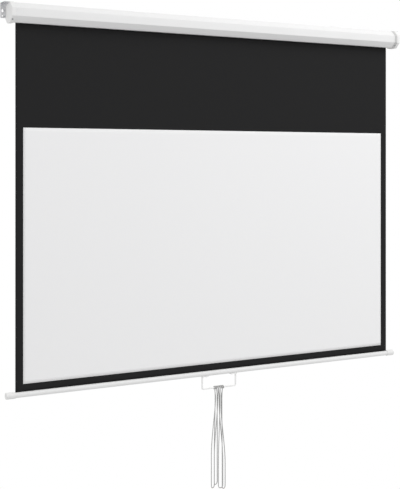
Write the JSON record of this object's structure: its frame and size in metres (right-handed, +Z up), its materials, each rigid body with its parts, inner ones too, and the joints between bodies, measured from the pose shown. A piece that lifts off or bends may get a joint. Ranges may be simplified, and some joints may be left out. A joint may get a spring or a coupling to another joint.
{
  "type": "projection screen",
  "caption": "Manual pull-down projection screen: octagonal case on wall brackets, spring roller with pawl lock, white surface on black fabric, weight bar with grip loop and hanging pull cord.",
  "frame": {"origin": "on the wall's plane, above the fabric's middle, at the height of the wall screws in the keyholes", "axes": "+X to the right of someone who faces the screen, +Y into the wall, +Z up"},
  "size_m": [1.9771, 0.0847, 2.0597],
  "materials": {
    "case_steel": "white satin powder coat",
    "bracket_steel": "zinc plated",
    "cap_plastic": "white moulded, semi-gloss",
    "screw_steel": "zinc plated",
    "zinc_steel": "galvanised",
    "bare_steel": "oiled",
    "nylon": "natural, unpainted",
    "black_fabric": "matte black coated",
    "white_surface": "matte white coated",
    "cord": "white twisted cord"
  },
  "bodies": {
    "housing": {"case_body": "case_steel", "end_cap_left": "cap_plastic", "end_cap_right": "cap_plastic", "cap_screw_left_front": "screw_steel", "cap_screw_left_rear": "screw_steel", "cap_screw_right_front": "screw_steel", "cap_screw_right_rear": "screw_steel", "bracket_left": "bracket_steel", "bracket_right": "bracket_steel", "bracket_screw_left_1": "screw_steel", "bracket_screw_left_2": "screw_steel", "bracket_screw_right_1": "screw_steel", "bracket_screw_right_2": "screw_steel", "spring_shaft": "bare_steel", "ratchet_disc": "bare_steel", "spring_anchor": "nylon", "shaft_circlip": "bare_steel", "torsion_spring": "bare_steel", "idler_bush": "nylon", "screen_fabric": "black_fabric", "white_surface": "white_surface"},
    "weight_bar": {"bottom_bar": "case_steel", "hem_rod": "bare_steel", "fabric_hem": "black_fabric", "bar_cap_left": "cap_plastic", "bar_cap_right": "cap_plastic", "pull_handle": "cap_plastic", "handle_screw_left": "screw_steel", "handle_screw_right": "screw_steel", "pull_cord": "cord", "cord_tie_left": "cord", "cord_tie_right": "cord"},
    "roller": {"roller_tube": "zinc_steel", "wound_fabric": "black_fabric", "roller_plug_left": "nylon", "roller_plug_right": "nylon", "idler_pin": "bare_steel", "pawl_pin": "bare_steel"},
    "lock_pawl": {"pawl": "bare_steel"}
  },
  "joints": [
    {"name": "screen_raise", "type": "slide", "parent": "housing", "child": "weight_bar", "axis": [0, 0, 1], "range_m": [0, 1.44655], "deforming": ["screen_fabric", "white_surface"]},
    {"name": "roller_turn", "type": "hinge", "parent": "housing", "child": "roller", "pos_m": [0, -0.05381, -0.016], "axis": [1, 0, 0], "range_deg": [0, 3961]},
    {"name": "pawl_lock", "type": "hinge", "parent": "roller", "child": "lock_pawl", "pos_m": [-0.9465, -0.04531, -0.028], "axis": [1, 0, 0], "range_deg": [-26, 0]}
  ],
  "couplings": [
    {"joint": "roller_turn", "follows": "screen_raise", "rad_per_m": 47.779}
  ]
}
